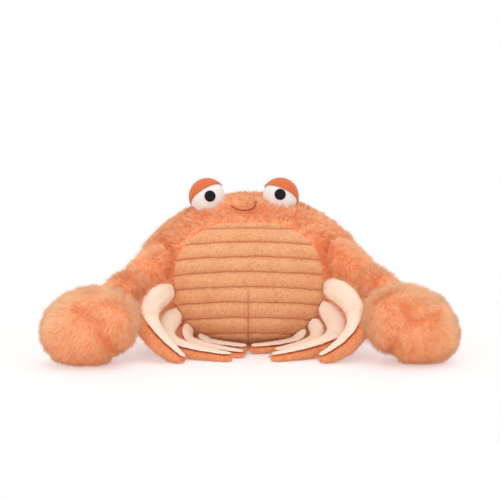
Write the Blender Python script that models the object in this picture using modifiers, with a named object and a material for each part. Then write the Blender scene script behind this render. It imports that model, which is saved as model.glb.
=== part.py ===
"""Plush crab, seated: a leaning fur body with a ribbed belly panel, lidded ball eyes, a stitched
smile, two arms with pincer claws and four pairs of bent legs, each leg a smooth lining sewn to
a short-pile back. Metres, +Z up, the face looks to -Y, the crab rests on the floor at z = 0."""

import math

import bmesh
import bpy
from mathutils import Matrix, Vector

for old in list(bpy.data.objects):
    bpy.data.objects.remove(old, do_unlink=True)

# Clearances and mesh density
GAP = 0.0003
BODY_DIVISIONS = 4
CLAW_SEGMENTS = 32
CLAW_RINGS = 13
BALL_SEGMENTS = 20
BALL_RINGS = 12
PUPIL_RINGS = 30
TUBE_SIDES = 14

# Body: a leaning superellipsoid, cut flat where it sits
BODY_CENTRE = Vector((0.0015, 0.0108, 0.0900))
LEAN = math.radians(15)
HALF_WIDTH = 0.110
FRONT = 0.062
BACK = 0.064
TOP = 0.065
BOTTOM = 0.098
TOP_POWER = 1.55
LOW_POWER = 2.2
DEPTH_POWER = 2.2
POWER_BLEND = (-0.025, 0.035)
ROUNDING = 0.28

# Belly panel, in the body's own leaning frame (across, forward, up)
BELLY_ACROSS = -0.0020
BELLY_LOW = -0.0922
BELLY_HALF_WIDTH = 0.0752
BELLY_HALF_HEIGHT = 0.0600
BELLY_CENTRE = (BELLY_ACROSS, BELLY_LOW + BELLY_HALF_HEIGHT)
BELLY_TOP = BELLY_LOW + 2 * BELLY_HALF_HEIGHT
BELLY_POWER = 2.4
BELLY_BACK = 0.012
BELLY_RISE = 0.0035
BELLY_SINK = 0.0022
BELLY_ROW_LIMIT = 0.975
BELLY_COLUMNS = (0.0, 0.035, 0.10, 0.22, 0.36, 0.50, 0.64, 0.77, 0.88, 0.96, 1.0)
RIB_COUNT = 8
RIB_TOP_MARGIN = 0.0080
RIB_LOW_MARGIN = 0.0098
RIB_FIRST = BELLY_TOP - RIB_TOP_MARGIN
RIB_PITCH = (2 * BELLY_HALF_HEIGHT - RIB_TOP_MARGIN - RIB_LOW_MARGIN) / (RIB_COUNT - 1)
RIB_DEPTH = 0.0022
RIB_ARC = 0.0020
PLEAT_DEPTH = 0.0030
PLEAT_WIDTH = 0.0022
PLEAT_HEIGHT = 0.0422

# Eyes: places across, ahead and above the body's top in its leaning frame
EYE_PLACES = {"left": (-0.0433, 0.0251, -0.0092), "right": (0.0298, 0.0252, -0.0088)}
EYE_RADIUS = 0.0177
LID_THICKNESS = 0.0012
LID_ROLL = {"left": math.radians(34), "right": math.radians(-26)}
LID_PITCH = math.radians(25)
LID_LIFT = 0.0022
PUPIL_RADIUS = 0.0053
PUPIL_THICKNESS = 0.0008
PUPIL_LOOK = {"left": (0.0031, 0.0025), "right": (-0.0003, 0.0039)}

# Stitched smile: points across the body's front and above the belly panel's top edge
SMILE = ((-0.0194, 0.0153), (-0.0150, 0.0114), (-0.0090, 0.0096), (-0.0030, 0.0094),
         (0.0020, 0.0114), (0.0052, 0.0152), (0.0050, 0.0206))
THREAD_RADIUS = 0.0011

# Arms: centre line and radius from inside the shoulder to inside the claw
ARMS = {
    "left": ((-0.06, 0.002, 0.094, 0.0200), (-0.074, -0.011, 0.092, 0.0200),
             (-0.086, -0.022, 0.088, 0.0190), (-0.098, -0.034, 0.083, 0.0178),
             (-0.1071, -0.044, 0.0785, 0.0147), (-0.111, -0.051, 0.0756, 0.0114),
             (-0.1154, -0.058, 0.0727, 0.0136), (-0.1233, -0.07, 0.0684, 0.0151),
             (-0.132, -0.083, 0.0585, 0.0146), (-0.1399, -0.091, 0.0491, 0.0131)),
    "right": ((0.06, 0.002, 0.098, 0.0200), (0.074, -0.012, 0.096, 0.0202),
              (0.087, -0.024, 0.0925, 0.0198), (0.1, -0.036, 0.0875, 0.0182),
              (0.1095, -0.046, 0.0832, 0.0148), (0.1149, -0.053, 0.0803, 0.0114),
              (0.1206, -0.06, 0.0768, 0.0137), (0.1291, -0.071, 0.0711, 0.0151),
              (0.1377, -0.081, 0.061, 0.0148), (0.1461, -0.087, 0.0494, 0.0132)),
}

# Claws: a fluffy pad with a dimple and a slit that frees a small thumb
CLAWS = {
    "left": {"centre": (-0.1525, -0.1000, 0.0370), "half": (0.0455, 0.0340, 0.0378),
             "lean": 0.16, "dimple": (-0.1490, 0.0420), "mouth": (-0.1240, 0.0080)},
    "right": {"centre": (0.1568, -0.0920, 0.0375), "half": (0.0438, 0.0340, 0.0380),
              "lean": -0.24, "dimple": (0.1515, 0.0430), "mouth": (0.1300, 0.0060)},
}
CLAW_POWER = 2.10
DIMPLE_DEPTH = 0.0045
DIMPLE_RADIUS = 0.0100
CLAW_CROWD = 0.55
SLIT_DEPTH = 0.0110
SLIT_WIDTH = 0.0045

# Legs: the root's angle on the belly panel's rim, the handles of the leg's curve above and below
# the knee and its tip (across and ahead from the root, height above the floor), the sewn face's
# normal at thigh and shin, and the half width, lining thickness and back thickness at root, thigh,
# knee, shin and tip
LEGS = {
    "leg_1_left": (math.radians(-174.5), (-0.0359, -0.0211, 0.0525), (-0.0273, -0.0431, 0.0358),
                   (0.0152, -0.0601, 0.0049), (0.40, -0.88, 0.12), (0.62, -0.26, 0.74),
                   ((0.0120, 0.0050, 0.0065), (0.0138, 0.0085, 0.0132), (0.0124, 0.0080, 0.0180),
                    (0.0100, 0.0068, 0.0172), (0.0062, 0.0040, 0.0120))),
    "leg_1_right": (math.radians(-3.6), (0.0289, -0.0189, 0.0674), (0.0520, -0.0399, 0.0317),
                    (-0.0090, -0.0579, 0.0068), (-0.34, -0.90, 0.12), (-0.62, -0.26, 0.74),
                    ((0.0120, 0.0050, 0.0060), (0.0138, 0.0085, 0.0118), (0.0124, 0.0080, 0.0160),
                     (0.0100, 0.0068, 0.0172), (0.0062, 0.0040, 0.0120))),
    "leg_2_left": (math.radians(-157.5), (-0.0239, -0.0181, 0.0197), (-0.0210, -0.0271, 0.0125),
                   (0.0546, -0.0541, 0.0071), (0.25, -0.92, 0.25), (0.00, -0.08, 1.00),
                   ((0.0100, 0.0040, 0.0045), (0.0118, 0.0060, 0.0075), (0.0101, 0.0055, 0.0110),
                    (0.0090, 0.0048, 0.0140), (0.0060, 0.0032, 0.0105))),
    "leg_2_right": (math.radians(-17), (0.0277, -0.0118, 0.0241), (0.0241, -0.0228, 0.0163),
                    (-0.0516, -0.0508, 0.0066), (-0.45, -0.86, 0.25), (0.00, -0.08, 1.00),
                    ((0.0100, 0.0040, 0.0045), (0.0120, 0.0062, 0.0070), (0.0110, 0.0055, 0.0110),
                     (0.0090, 0.0048, 0.0140), (0.0060, 0.0032, 0.0105))),
    "leg_3_left": (math.radians(-143.9), (-0.0080, -0.0101, 0.0138), (-0.0068, -0.0161, 0.0099),
                   (0.0554, -0.0386, 0.0060), (0.72, -0.52, 0.45), (0.00, -0.06, 1.00),
                   ((0.0075, 0.0040, 0.0065), (0.0082, 0.0050, 0.0120), (0.0076, 0.0048, 0.0120),
                    (0.0076, 0.0040, 0.0110), (0.0054, 0.0028, 0.0090))),
    "leg_3_right": (math.radians(-30.8), (0.0113, -0.0038, 0.0162), (0.0091, -0.0088, 0.0111),
                    (-0.0387, -0.0333, 0.0076), (-0.35, -0.80, 0.50), (0.00, -0.06, 1.00),
                    ((0.0075, 0.0040, 0.0045), (0.0088, 0.0055, 0.0060), (0.0076, 0.0048, 0.0085),
                     (0.0076, 0.0040, 0.0110), (0.0054, 0.0028, 0.0090))),
    "leg_4_left": (math.radians(-131.8), (-0.0050, -0.0070, 0.0130), (0.0065, -0.0115, 0.0085),
                   (0.0455, -0.0205, 0.0081), (0.30, -0.60, 0.70), (0.00, -0.06, 1.00),
                   ((0.0058, 0.0035, 0.0040), (0.0062, 0.0040, 0.0050), (0.0062, 0.0036, 0.0060),
                    (0.0070, 0.0036, 0.0085), (0.0056, 0.0030, 0.0085))),
    "leg_4_right": (math.radians(-41.6), (0.0043, -0.0027, 0.0135), (-0.0067, -0.0062, 0.0085),
                    (-0.0520, -0.0177, 0.0081), (-0.30, -0.60, 0.70), (0.00, -0.06, 1.00),
                    ((0.0062, 0.0035, 0.0040), (0.0068, 0.0045, 0.0055), (0.0064, 0.0040, 0.0065),
                     (0.0072, 0.0036, 0.0085), (0.0056, 0.0030, 0.0085))),
}
LEG_ROOT_DEPTH = 0.0045
LEG_STATIONS = (0.012, 0.11, 0.22, 0.34, 0.45, 0.50, 0.55, 0.62, 0.73, 0.84, 0.93, 0.972, 0.994)
KNEE_CREASE = 0.045
END_FULLNESS = 0.85
LEG_ARC_ANGLES = (0, 16, 42, 70, 110, 138, 164, 180)
SEAM_PINCH = 0.93
KNEE_PINCH = 0.30

COLOURS = {
    "body_fur": (0.80, 0.30, 0.13),
    "limb_fur": (0.82, 0.31, 0.14),
    "belly_pile": (0.84, 0.40, 0.18),
    "lining_cloth": (0.90, 0.74, 0.56),
    "back_pile": (0.84, 0.36, 0.17),
    "lid_felt": (0.79, 0.19, 0.07),
    "eye_cloth": (0.86, 0.78, 0.70),
    "pupil_felt": (0.012, 0.010, 0.009),
    "thread": (0.45, 0.11, 0.04),
}

crab = bpy.data.collections.new("plush_crab")
cutters = bpy.data.collections.new("plush_crab_cutters")
for group in (crab, cutters):
    bpy.context.scene.collection.children.link(group)
origin = bpy.data.objects.new("plush_crab_origin", None)
crab.objects.link(origin)

forward = Vector((0, -math.cos(LEAN), math.sin(LEAN)))
upward = Vector((0, math.sin(LEAN), math.cos(LEAN)))
BODY_FRAME = Matrix.Translation(BODY_CENTRE) @ Matrix(
    ((1, 0, 0, 0), (0, forward.y, upward.y, 0), (0, forward.z, upward.z, 0), (0, 0, 0, 1)))


def material(slot):
    found = bpy.data.materials.get(slot)
    if found:
        return found
    made = bpy.data.materials.new(slot)
    made.use_nodes = True
    shader = made.node_tree.nodes["Principled BSDF"]
    shader.inputs["Base Color"].default_value = (*COLOURS[slot], 1)
    shader.inputs["Roughness"].default_value = 0.95 if slot != "pupil_felt" else 0.7
    made.diffuse_color = (*COLOURS[slot], 1)
    return made


def face_outward(bm):
    bm.normal_update()
    bmesh.ops.recalc_face_normals(bm, faces=bm.faces)
    bm.normal_update()


def grow_mesh(bm, amount):
    face_outward(bm)
    for vert, shift in [(v, v.normal * amount) for v in bm.verts]:
        vert.co += shift


def fix_facets(bm):
    """Settle the facets of bent faces, so a piece and its clearance share them."""
    bmesh.ops.triangulate(bm, faces=bm.faces)


def place(bm, name, slot=None):
    """Close a bmesh into an object: a part with its material, or a hidden cutter without."""
    face_outward(bm)
    mesh = bpy.data.meshes.new(name)
    bm.to_mesh(mesh)
    bm.free()
    obj = bpy.data.objects.new(name, mesh)
    (crab if slot else cutters).objects.link(obj)
    obj.parent = origin
    if slot:
        mesh.materials.append(material(slot))
        for face in mesh.polygons:
            face.use_smooth = True
    else:
        obj.hide_render = True
        obj.display_type = "WIRE"
    return obj


def clearance(obj, name, grow=GAP):
    """A hidden cutter: the object's own mesh grown by the gap."""
    bm = bmesh.new()
    bm.from_mesh(obj.data)
    grow_mesh(bm, grow)
    return place(bm, name)


def combine(target, other, operation):
    modifier = target.modifiers.new(operation.lower() + "_" + other.name, "BOOLEAN")
    modifier.operation = operation
    modifier.solver = "EXACT"
    modifier.object = other


def cut(target, cutter):
    combine(target, cutter, "DIFFERENCE")


def smooth(low, high, value):
    step = min(1.0, max(0.0, (value - low) / (high - low)))
    return step * step * (3 - 2 * step)


def rounded_power(share, power):
    """A share raised to a power, with the fold at zero rounded off."""
    low = ROUNDING ** power
    return ((share ** 2 + ROUNDING ** 2) ** (power / 2) - low) / (
        (1 + ROUNDING ** 2) ** (power / 2) - low)


def body_outline(across, up):
    """Zero on the body's axis and one on its outline seen from the front."""
    power = LOW_POWER + (TOP_POWER - LOW_POWER) * smooth(*POWER_BLEND, up)
    height = rounded_power(up / TOP, TOP_POWER) if up > 0 else (-up / BOTTOM) ** LOW_POWER
    return rounded_power(across / HALF_WIDTH, power) + height


def body_level(across, ahead, up):
    depth = FRONT if ahead > 0 else BACK
    return body_outline(across, up) + abs(ahead / depth) ** DEPTH_POWER


def body_front(across, up):
    """How far forward the body's surface lies at a place of its front."""
    return FRONT * max(1 - body_outline(across, up), 0) ** (1 / DEPTH_POWER)


def body_solid(grow=0.0):
    bm = bmesh.new()
    bmesh.ops.create_icosphere(bm, subdivisions=BODY_DIVISIONS, radius=1)
    for vert in bm.verts:
        ray = vert.co.normalized()
        near, far = 0.0, 0.3
        for _ in range(40):
            middle = (near + far) / 2
            near, far = (middle, far) if body_level(*(ray * middle)) < 1 else (near, middle)
        vert.co = BODY_FRAME @ (ray * near)
    grow_mesh(bm, grow)
    cut_floor = bmesh.ops.bisect_plane(bm, geom=bm.verts[:] + bm.edges[:] + bm.faces[:],
                                       plane_co=(0, 0, -grow), plane_no=(0, 0, 1),
                                       clear_inner=True)
    rim = [item for item in cut_floor["geom_cut"] if isinstance(item, bmesh.types.BMEdge)]
    bmesh.ops.edgeloop_fill(bm, edges=rim)
    return bm


def belly_height(across, up):
    """The panel's front: the body's surface, puffed, with stitched ribs and one pleat."""
    x, z = across - BELLY_CENTRE[0], up - BELLY_CENTRE[1]
    reach = (abs(x / BELLY_HALF_WIDTH) ** BELLY_POWER
             + abs(z / BELLY_HALF_HEIGHT) ** BELLY_POWER) ** (1 / BELLY_POWER)
    height = body_front(across, up) - BELLY_SINK
    height += (BELLY_RISE + BELLY_SINK) * math.sqrt(max(0.0, 1 - min(reach, 1) ** 4))
    phase = (RIB_FIRST - up - RIB_ARC * (x / BELLY_HALF_WIDTH) ** 2) / RIB_PITCH
    inside = 1 - smooth(0.94, 1.0, reach)
    height -= RIB_DEPTH * inside * (1 - abs(math.sin(math.pi * phase))) ** 2
    pleat_top = BELLY_LOW + PLEAT_HEIGHT
    pleat = math.exp(-((x / PLEAT_WIDTH) ** 2)) * smooth(pleat_top + 0.006, pleat_top - 0.006, up)
    return height - PLEAT_DEPTH * inside * pleat


def belly_rim(angle):
    """The place on the body's front at an angle of the panel's rim, where a leg is sewn in."""
    x, z = math.cos(angle), math.sin(angle)
    reach = (abs(x / BELLY_HALF_WIDTH) ** BELLY_POWER
             + abs(z / BELLY_HALF_HEIGHT) ** BELLY_POWER) ** (-1 / BELLY_POWER)
    across, up = BELLY_CENTRE[0] + reach * x, BELLY_CENTRE[1] + reach * z
    return BODY_FRAME @ Vector((across, body_front(across, up), up))


def belly_rows():
    """Rows at every seam and twice between seams, from the top edge to the bottom edge."""
    top = BELLY_CENTRE[1] + BELLY_HALF_HEIGHT * BELLY_ROW_LIMIT
    low = BELLY_CENTRE[1] - BELLY_HALF_HEIGHT * BELLY_ROW_LIMIT
    steps = [RIB_FIRST + RIB_PITCH * (1 - n / 3) for n in range(3 * (RIB_COUNT + 2))]
    inner = [row for row in steps if low + 0.0015 < row < top - 0.0015]
    return [top, *inner, low]


def belly_solid(grow=0.0, front=None):
    """The panel, or with a front the straight-sided pocket that takes it."""
    rows = belly_rows()
    across = [-c for c in BELLY_COLUMNS[:0:-1]] + list(BELLY_COLUMNS)
    bm = bmesh.new()
    bmesh.ops.create_grid(bm, x_segments=len(across) - 1, y_segments=len(rows) - 1, size=1)
    back = BELLY_BACK - grow
    for vert in bm.verts:
        column = round((vert.co.x + 1) / 2 * (len(across) - 1))
        row = rows[round((vert.co.y + 1) / 2 * (len(rows) - 1))]
        span = (row - BELLY_CENTRE[1]) / BELLY_HALF_HEIGHT
        half = BELLY_HALF_WIDTH * (1 - abs(span) ** BELLY_POWER) ** (1 / BELLY_POWER)
        share = across[column]
        # columns crowd toward the rim, so the panel's edge turns over smoothly
        x = half * (0.75 * share + 0.25 * math.sin(share * math.pi / 2))
        drop = RIB_ARC * (x / BELLY_HALF_WIDTH) ** 2 * (1 - abs(span) ** 6)
        place_x, place_z = BELLY_CENTRE[0] + x, row - drop
        height = front if front else belly_height(place_x, place_z)
        if grow:
            place_x += grow * (x / half if abs(share) == 1 else 0)
            place_z += grow * (1 if row == rows[0] else -1 if row == rows[-1] else 0)
        vert.co = Vector((place_x, height, place_z))
    walls = bmesh.ops.extrude_face_region(bm, geom=bm.faces[:] + bm.edges[:] + bm.verts[:])
    for vert in walls["geom"]:
        if isinstance(vert, bmesh.types.BMVert):
            vert.co.y = back
    flat = [face for face in walls["geom"] if isinstance(face, bmesh.types.BMFace)]
    bmesh.ops.dissolve_faces(bm, faces=flat)
    bmesh.ops.transform(bm, matrix=BODY_FRAME, verts=bm.verts)
    fix_facets(bm)
    return bm


def ball(centre, radius, pole, rings):
    """A sphere whose poles lie along a given axis; nested spheres share it, so gaps stay even."""
    axis = pole.to_track_quat("Z", "Y").to_matrix().to_4x4()
    bm = bmesh.new()
    bmesh.ops.create_uvsphere(bm, u_segments=BALL_SEGMENTS, v_segments=rings, radius=radius,
                              matrix=Matrix.Translation(centre) @ axis)
    return bm


def lid_plane(side):
    """The lid's edge plane: rolled outward and tipped up in front."""
    turn = Matrix.Rotation(-LID_ROLL[side], 3, "Y") @ Matrix.Rotation(-LID_PITCH, 3, "X")
    return turn @ Vector((0, 0, 1))


def cap(centre, inner, outer, plane_point, plane_normal, rings, name, slot):
    """A shell piece of a ball beyond a plane, by thickening the cut sphere outward."""
    bm = ball(centre, inner, plane_normal, rings)
    bmesh.ops.bisect_plane(bm, geom=bm.verts[:] + bm.edges[:] + bm.faces[:],
                           plane_co=plane_point, plane_no=plane_normal, clear_inner=True)
    obj = place(bm, name, slot)
    shell = obj.modifiers.new("thickness", "SOLIDIFY")
    shell.thickness = outer - inner
    shell.offset = 1
    shell.use_quality_normals = True
    return obj


def tube(stations, sides, name, slot):
    """A stuffed limb through stations (x, y, z, radius) with the ends closed."""
    points = [Vector(s[:3]) for s in stations]
    bm = bmesh.new()
    side = None
    loops = []
    for k, (point, station) in enumerate(zip(points, stations)):
        ahead = (points[min(k + 1, len(points) - 1)] - points[max(k - 1, 0)]).normalized()
        side = ahead.cross(Vector((0, 0, 1)) if side is None else side.cross(ahead)).normalized()
        up = side.cross(ahead)
        ring = [bm.verts.new(point + station[3] * (math.cos(a) * side + math.sin(a) * up))
                for a in (2 * math.pi * n / sides for n in range(sides))]
        loops.append([bm.edges.new((ring[n - 1], ring[n])) for n in range(sides)])
    for first, second in zip(loops, loops[1:]):
        bmesh.ops.bridge_loops(bm, edges=first + second)
    for end in (loops[0], loops[-1]):
        bmesh.ops.edgeloop_fill(bm, edges=end)
    return place(bm, name, slot)


def claw_solid(side):
    shape = CLAWS[side]
    centre, half = Vector(shape["centre"]), shape["half"]
    dimple, mouth = Vector(shape["dimple"]), Vector(shape["mouth"])
    slit = (mouth - dimple).normalized()
    length = (mouth - dimple).length
    bm = bmesh.new()
    bmesh.ops.create_uvsphere(bm, u_segments=CLAW_SEGMENTS, v_segments=CLAW_RINGS, radius=1,
                              matrix=Matrix.Rotation(math.radians(90), 4, "X"))
    slit_angle = math.atan2(slit.y, slit.x)
    for vert in bm.verts:
        # meridians crowd toward the slit
        around = math.atan2(vert.co.z, vert.co.x)
        around += slit_angle - CLAW_CROWD * math.sin(around)
        reach = math.hypot(vert.co.x, vert.co.z)
        ray = Vector((reach * math.cos(around), vert.co.y, reach * math.sin(around)))
        level = sum(abs(ray[n] / half[n]) ** CLAW_POWER for n in range(3))
        spot = centre + ray * level ** (-1 / CLAW_POWER)
        flat = Vector((spot.x, spot.z)) - dimple
        along, beside = flat.dot(slit) / length, flat.x * slit.y - flat.y * slit.x
        facing = smooth(0.55, -0.25, ray.y)
        dent = math.exp(-((beside / SLIT_WIDTH) ** 2)) * smooth(-0.15, 0.75, along)
        spot -= ray * SLIT_DEPTH * dent * facing
        spot.y += DIMPLE_DEPTH * facing * math.exp(-((flat.length / DIMPLE_RADIUS) ** 2))
        spot.x += shape["lean"] * (spot.z - centre.z)
        vert.co = (spot.x, spot.y, max(spot.z, 0.0))
    fix_facets(bm)
    return bm


def bezier(points, share):
    a, b, c, d = points
    rest = 1 - share
    return a * rest ** 3 + b * 3 * rest * rest * share + c * 3 * rest * share * share + d * share ** 3


def leg_path(points):
    """Place, share and distance to the nearer end at each station of a leg's curve."""
    start = points[0] - (points[1] - points[0]).normalized() * LEG_ROOT_DEPTH
    points = [start, *points[1:]]
    found = [(bezier(points, share), share) for share in LEG_STATIONS]
    return [(spot, share, min((spot - start).length, (spot - points[3]).length))
            for spot, share in found]


def leg_half(name, points, facing_high, facing_low, sizes, palm):
    """One sewn half of a leg: the smooth lining (palm) or the short-pile back."""
    bm = bmesh.new()
    loops, corners = [], []
    path = leg_path(points)
    for n, (centre, share, from_end) in enumerate(path):
        ahead = (path[min(n + 1, len(path) - 1)][0] - path[max(n - 1, 0)][0]).normalized()
        normal = Vector(facing_high).lerp(Vector(facing_low), smooth(0.28, 0.66, share))
        normal = (normal - ahead * normal.dot(ahead)).normalized()
        across = ahead.cross(normal)
        knot = 4 * share
        k = min(int(knot), 3)
        low, high = sizes[k], sizes[k + 1]
        wide, lining, back = (low[m] + (high[m] - low[m]) * smooth(k, k + 1, knot) for m in range(3))
        thick = lining if palm else back
        end = math.sqrt(1 - (1 - min(1.0, from_end / wide)) ** 2)
        pinch = 1 - KNEE_PINCH * math.exp(-(((share - 0.5) / KNEE_CREASE) ** 2)) * (1 if palm else 0)
        thick *= pinch * end ** END_FULLNESS
        side = 1 if palm else -1
        ring = []
        for angle in LEG_ARC_ANGLES:
            a = math.radians(angle)
            in_seam = SEAM_PINCH if angle in (0, 180) else 1
            spot = centre + across * (wide * end * math.cos(a) * in_seam)
            spot += normal * side * (GAP / 2 + thick * math.sin(a))
            spot.z = max(spot.z, 0.0)
            ring.append(bm.verts.new(spot))
        loops.append([bm.edges.new((ring[m - 1], ring[m])) for m in range(len(ring))])
        corners.append((ring[0], ring[-1]))
    for first, second in zip(loops, loops[1:]):
        bmesh.ops.bridge_loops(bm, edges=first + second)
    for end in (loops[0], loops[-1]):
        bmesh.ops.edgeloop_fill(bm, edges=end)
    # both halves split the sewn face along the same diagonals, so the gap stays even
    for first, second in zip(corners, corners[1:]):
        bmesh.ops.connect_vert_pair(bm, verts=[first[0], second[1]])
    return place(bm, name, "lining_cloth" if palm else "back_pile")


def smile():
    curve = bpy.data.curves.new("mouth_thread", "CURVE")
    curve.dimensions = "3D"
    curve.bevel_depth = THREAD_RADIUS
    curve.bevel_resolution = 1
    curve.resolution_u = 1
    curve.render_resolution_u = 1
    curve.use_fill_caps = True
    line = curve.splines.new("POLY")
    line.points.add(len(SMILE) - 1)
    for knot, (across, above) in zip(line.points, SMILE):
        up = BELLY_TOP + above
        ahead = body_front(across, up)
        step = 0.0005
        slope = Vector((body_front(across - step, up) - body_front(across + step, up), 2 * step,
                        body_front(across, up - step) - body_front(across, up + step)))
        lifted = Vector((across, ahead, up)) + slope.normalized() * (THREAD_RADIUS + GAP)
        knot.co = (*(BODY_FRAME @ lifted), 1)
    obj = bpy.data.objects.new("mouth_thread", curve)
    crab.objects.link(obj)
    obj.parent = origin
    curve.materials.append(material("thread"))


# Body, belly panel and smile
body = place(body_solid(), "body", "body_fur")
body_room = place(body_solid(GAP), "body_room")
belly = place(belly_solid(), "belly_panel", "belly_pile")
belly_room = clearance(belly, "belly_room")
cut(body, place(belly_solid(GAP, front=0.09), "belly_pocket"))
leg_seat = place(body_solid(GAP), "leg_seat")
combine(leg_seat, belly_room, "UNION")
smile()

# Eyes: ball, lid and pupil, sunk in two sockets
for side, (across, ahead, above) in EYE_PLACES.items():
    centre = BODY_FRAME @ Vector((across, ahead, TOP + above))
    up = lid_plane(side)
    eye = place(ball(centre, EYE_RADIUS, up, BALL_RINGS), f"eye_ball_{side}", "eye_cloth")
    cut(body, clearance(eye, f"eye_socket_{side}"))
    lid_inner = EYE_RADIUS + GAP
    lid_outer = lid_inner + LID_THICKNESS
    cap(centre, lid_inner, lid_outer, centre + up * LID_LIFT, up, BALL_RINGS,
        f"eyelid_{side}", "lid_felt")
    hood = ball(centre, lid_outer + GAP, up, BALL_RINGS)
    edge = bmesh.ops.bisect_plane(hood, geom=hood.verts[:] + hood.edges[:] + hood.faces[:],
                                  plane_co=centre + up * (LID_LIFT - GAP), plane_no=up,
                                  clear_inner=True)
    rim = [item for item in edge["geom_cut"] if isinstance(item, bmesh.types.BMEdge)]
    bmesh.ops.edgeloop_fill(hood, edges=rim)
    cut(body, place(hood, f"lid_socket_{side}"))
    look_across, look_up = PUPIL_LOOK[side]
    look = Vector((look_across, -EYE_RADIUS, look_up)).normalized()
    depth = math.sqrt(EYE_RADIUS ** 2 - PUPIL_RADIUS ** 2)
    cap(centre, EYE_RADIUS + GAP, EYE_RADIUS + GAP + PUPIL_THICKNESS, centre + look * depth, look,
        PUPIL_RINGS, f"pupil_{side}", "pupil_felt")

# Arms and claws
for side, stations in ARMS.items():
    claw = place(claw_solid(side), f"claw_{side}", "limb_fur")
    arm = tube(stations, TUBE_SIDES, f"arm_{side}", "limb_fur")
    cut(arm, body_room)
    cut(arm, clearance(claw, f"claw_room_{side}"))

# Legs
for name, (angle, high, low, tip, facing_high, facing_low, sizes) in LEGS.items():
    root = belly_rim(angle)
    points = [root, *(Vector((root.x + across, root.y + ahead, height))
                      for across, ahead, height in (high, low, tip))]
    for suffix, palm in (("lining", True), ("back", False)):
        half = leg_half(f"{name}_{suffix}", points, facing_high, facing_low, sizes, palm)
        cut(half, leg_seat)


def rest_at_origin():
    """Put the middle of the finished crab's footprint at the origin."""
    graph = bpy.context.evaluated_depsgraph_get()
    low, high = Vector((9, 9, 9)), Vector((-9, -9, -9))
    for obj in crab.objects:
        if obj.type == "EMPTY":
            continue
        shown = obj.evaluated_get(graph)
        mesh = shown.to_mesh()
        for vert in mesh.vertices:
            spot = shown.matrix_world @ vert.co
            low = Vector(map(min, low, spot))
            high = Vector(map(max, high, spot))
        shown.to_mesh_clear()
    origin.location = (-(low.x + high.x) / 2, -(low.y + high.y) / 2, -low.z)


rest_at_origin()
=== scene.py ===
"""Looks of the plush crab: long-pile body, arms and claws, ribbed belly panel, lined legs with
short-pile backs, ball eyes with felt lids and a stitched smile. Metres, +Z up, face to -Y."""

import math

import bmesh
import bpy
import numpy as np
from mathutils import Matrix, Vector
from mathutils.bvhtree import BVHTree
from mathutils.kdtree import KDTree


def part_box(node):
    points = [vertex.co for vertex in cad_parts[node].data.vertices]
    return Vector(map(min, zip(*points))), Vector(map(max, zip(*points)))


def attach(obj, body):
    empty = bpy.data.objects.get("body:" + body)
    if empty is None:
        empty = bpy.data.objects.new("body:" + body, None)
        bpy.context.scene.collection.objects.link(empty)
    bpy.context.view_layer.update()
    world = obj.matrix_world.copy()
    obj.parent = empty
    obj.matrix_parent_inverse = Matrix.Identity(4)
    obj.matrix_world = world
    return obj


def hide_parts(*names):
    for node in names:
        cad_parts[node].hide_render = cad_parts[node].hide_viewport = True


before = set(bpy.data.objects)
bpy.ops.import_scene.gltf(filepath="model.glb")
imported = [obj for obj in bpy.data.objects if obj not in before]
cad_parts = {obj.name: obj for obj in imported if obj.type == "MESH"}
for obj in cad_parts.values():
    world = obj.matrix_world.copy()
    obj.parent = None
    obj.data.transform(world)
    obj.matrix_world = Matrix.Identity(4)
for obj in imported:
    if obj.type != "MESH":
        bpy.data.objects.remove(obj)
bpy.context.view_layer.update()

SIDES = ("left", "right")
LEGS = [f"leg_{n}_{side}" for n in (1, 2, 3, 4) for side in SIDES]
MM = 0.001

# Camera, estimated from the photo; lens and sensor in mm
CAMERA_TARGET = Vector((-0.00073, -0.01071, 0.102))
CAMERA_DISTANCE = 1.6
CAMERA_TILT = math.radians(8)
CAMERA_LENS = 116.93
CAMERA_SENSOR = 36.0

# Light, and how the shaded floor fades to plain white with distance from the toy
WORLD_COLOUR = (1.0, 0.985, 0.97)
WORLD_STRENGTH = 0.82
FLOOR_SIZE = 4
FLOOR_COLOUR = (0.95, 0.93, 0.92)
FLOOR_FADE = {"From Min": 0.16, "From Max": 0.42, "To Min": 0.28, "To Max": 1.0}

# Pile: depth of the skin under the CAD surface, lock length and radius, locks per square mm, how
# far the locks lie over and how far they stray, then how many share a wisp, how closely a wisp
# gathers and how much the tone differs from wisp to wisp
BODY_PILE = {"depth": 3.6 * MM, "length": 8.6 * MM, "radius": 0.29 * MM, "crowd": 1.75,
             "lie": 0.80, "stray": 0.30, "clump": 9, "gather": 0.32, "wisp": 0.26}
CLAW_PILE = {"depth": 2.6 * MM, "length": 6.4 * MM, "radius": 0.28 * MM, "crowd": 2.15,
             "lie": 1.00, "stray": 0.20, "clump": 7, "gather": 0.16, "wisp": 0.15}
ARM_PILE = {"depth": 2.4 * MM, "length": 6.2 * MM, "radius": 0.28 * MM, "crowd": 2.15,
            "lie": 0.85, "stray": 0.24, "clump": 8, "gather": 0.22, "wisp": 0.22}
LEG_PILE = {"depth": 0.8 * MM, "length": 3.6 * MM, "radius": 0.26 * MM, "crowd": 2.4,
            "lie": 0.45, "stray": 0.30, "clump": 8, "gather": 0.12, "wisp": 0.16}
LOWEST = 0.2 * MM
REAR_SHARE = 0.68

# Stand-ins for the light that real pile scatters inside itself: a glow in the pile's own colour,
# and lighting normals that lean upward. The locks also cast no shadow (see grow_pile).
PILE_GLOW = 0.11
LIGHT_LIFT = 0.18
PILE_SHEEN = 0.12
TONE_SHIFT = 0.50
TONE_VALUES = (0.84, 1.12)

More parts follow.
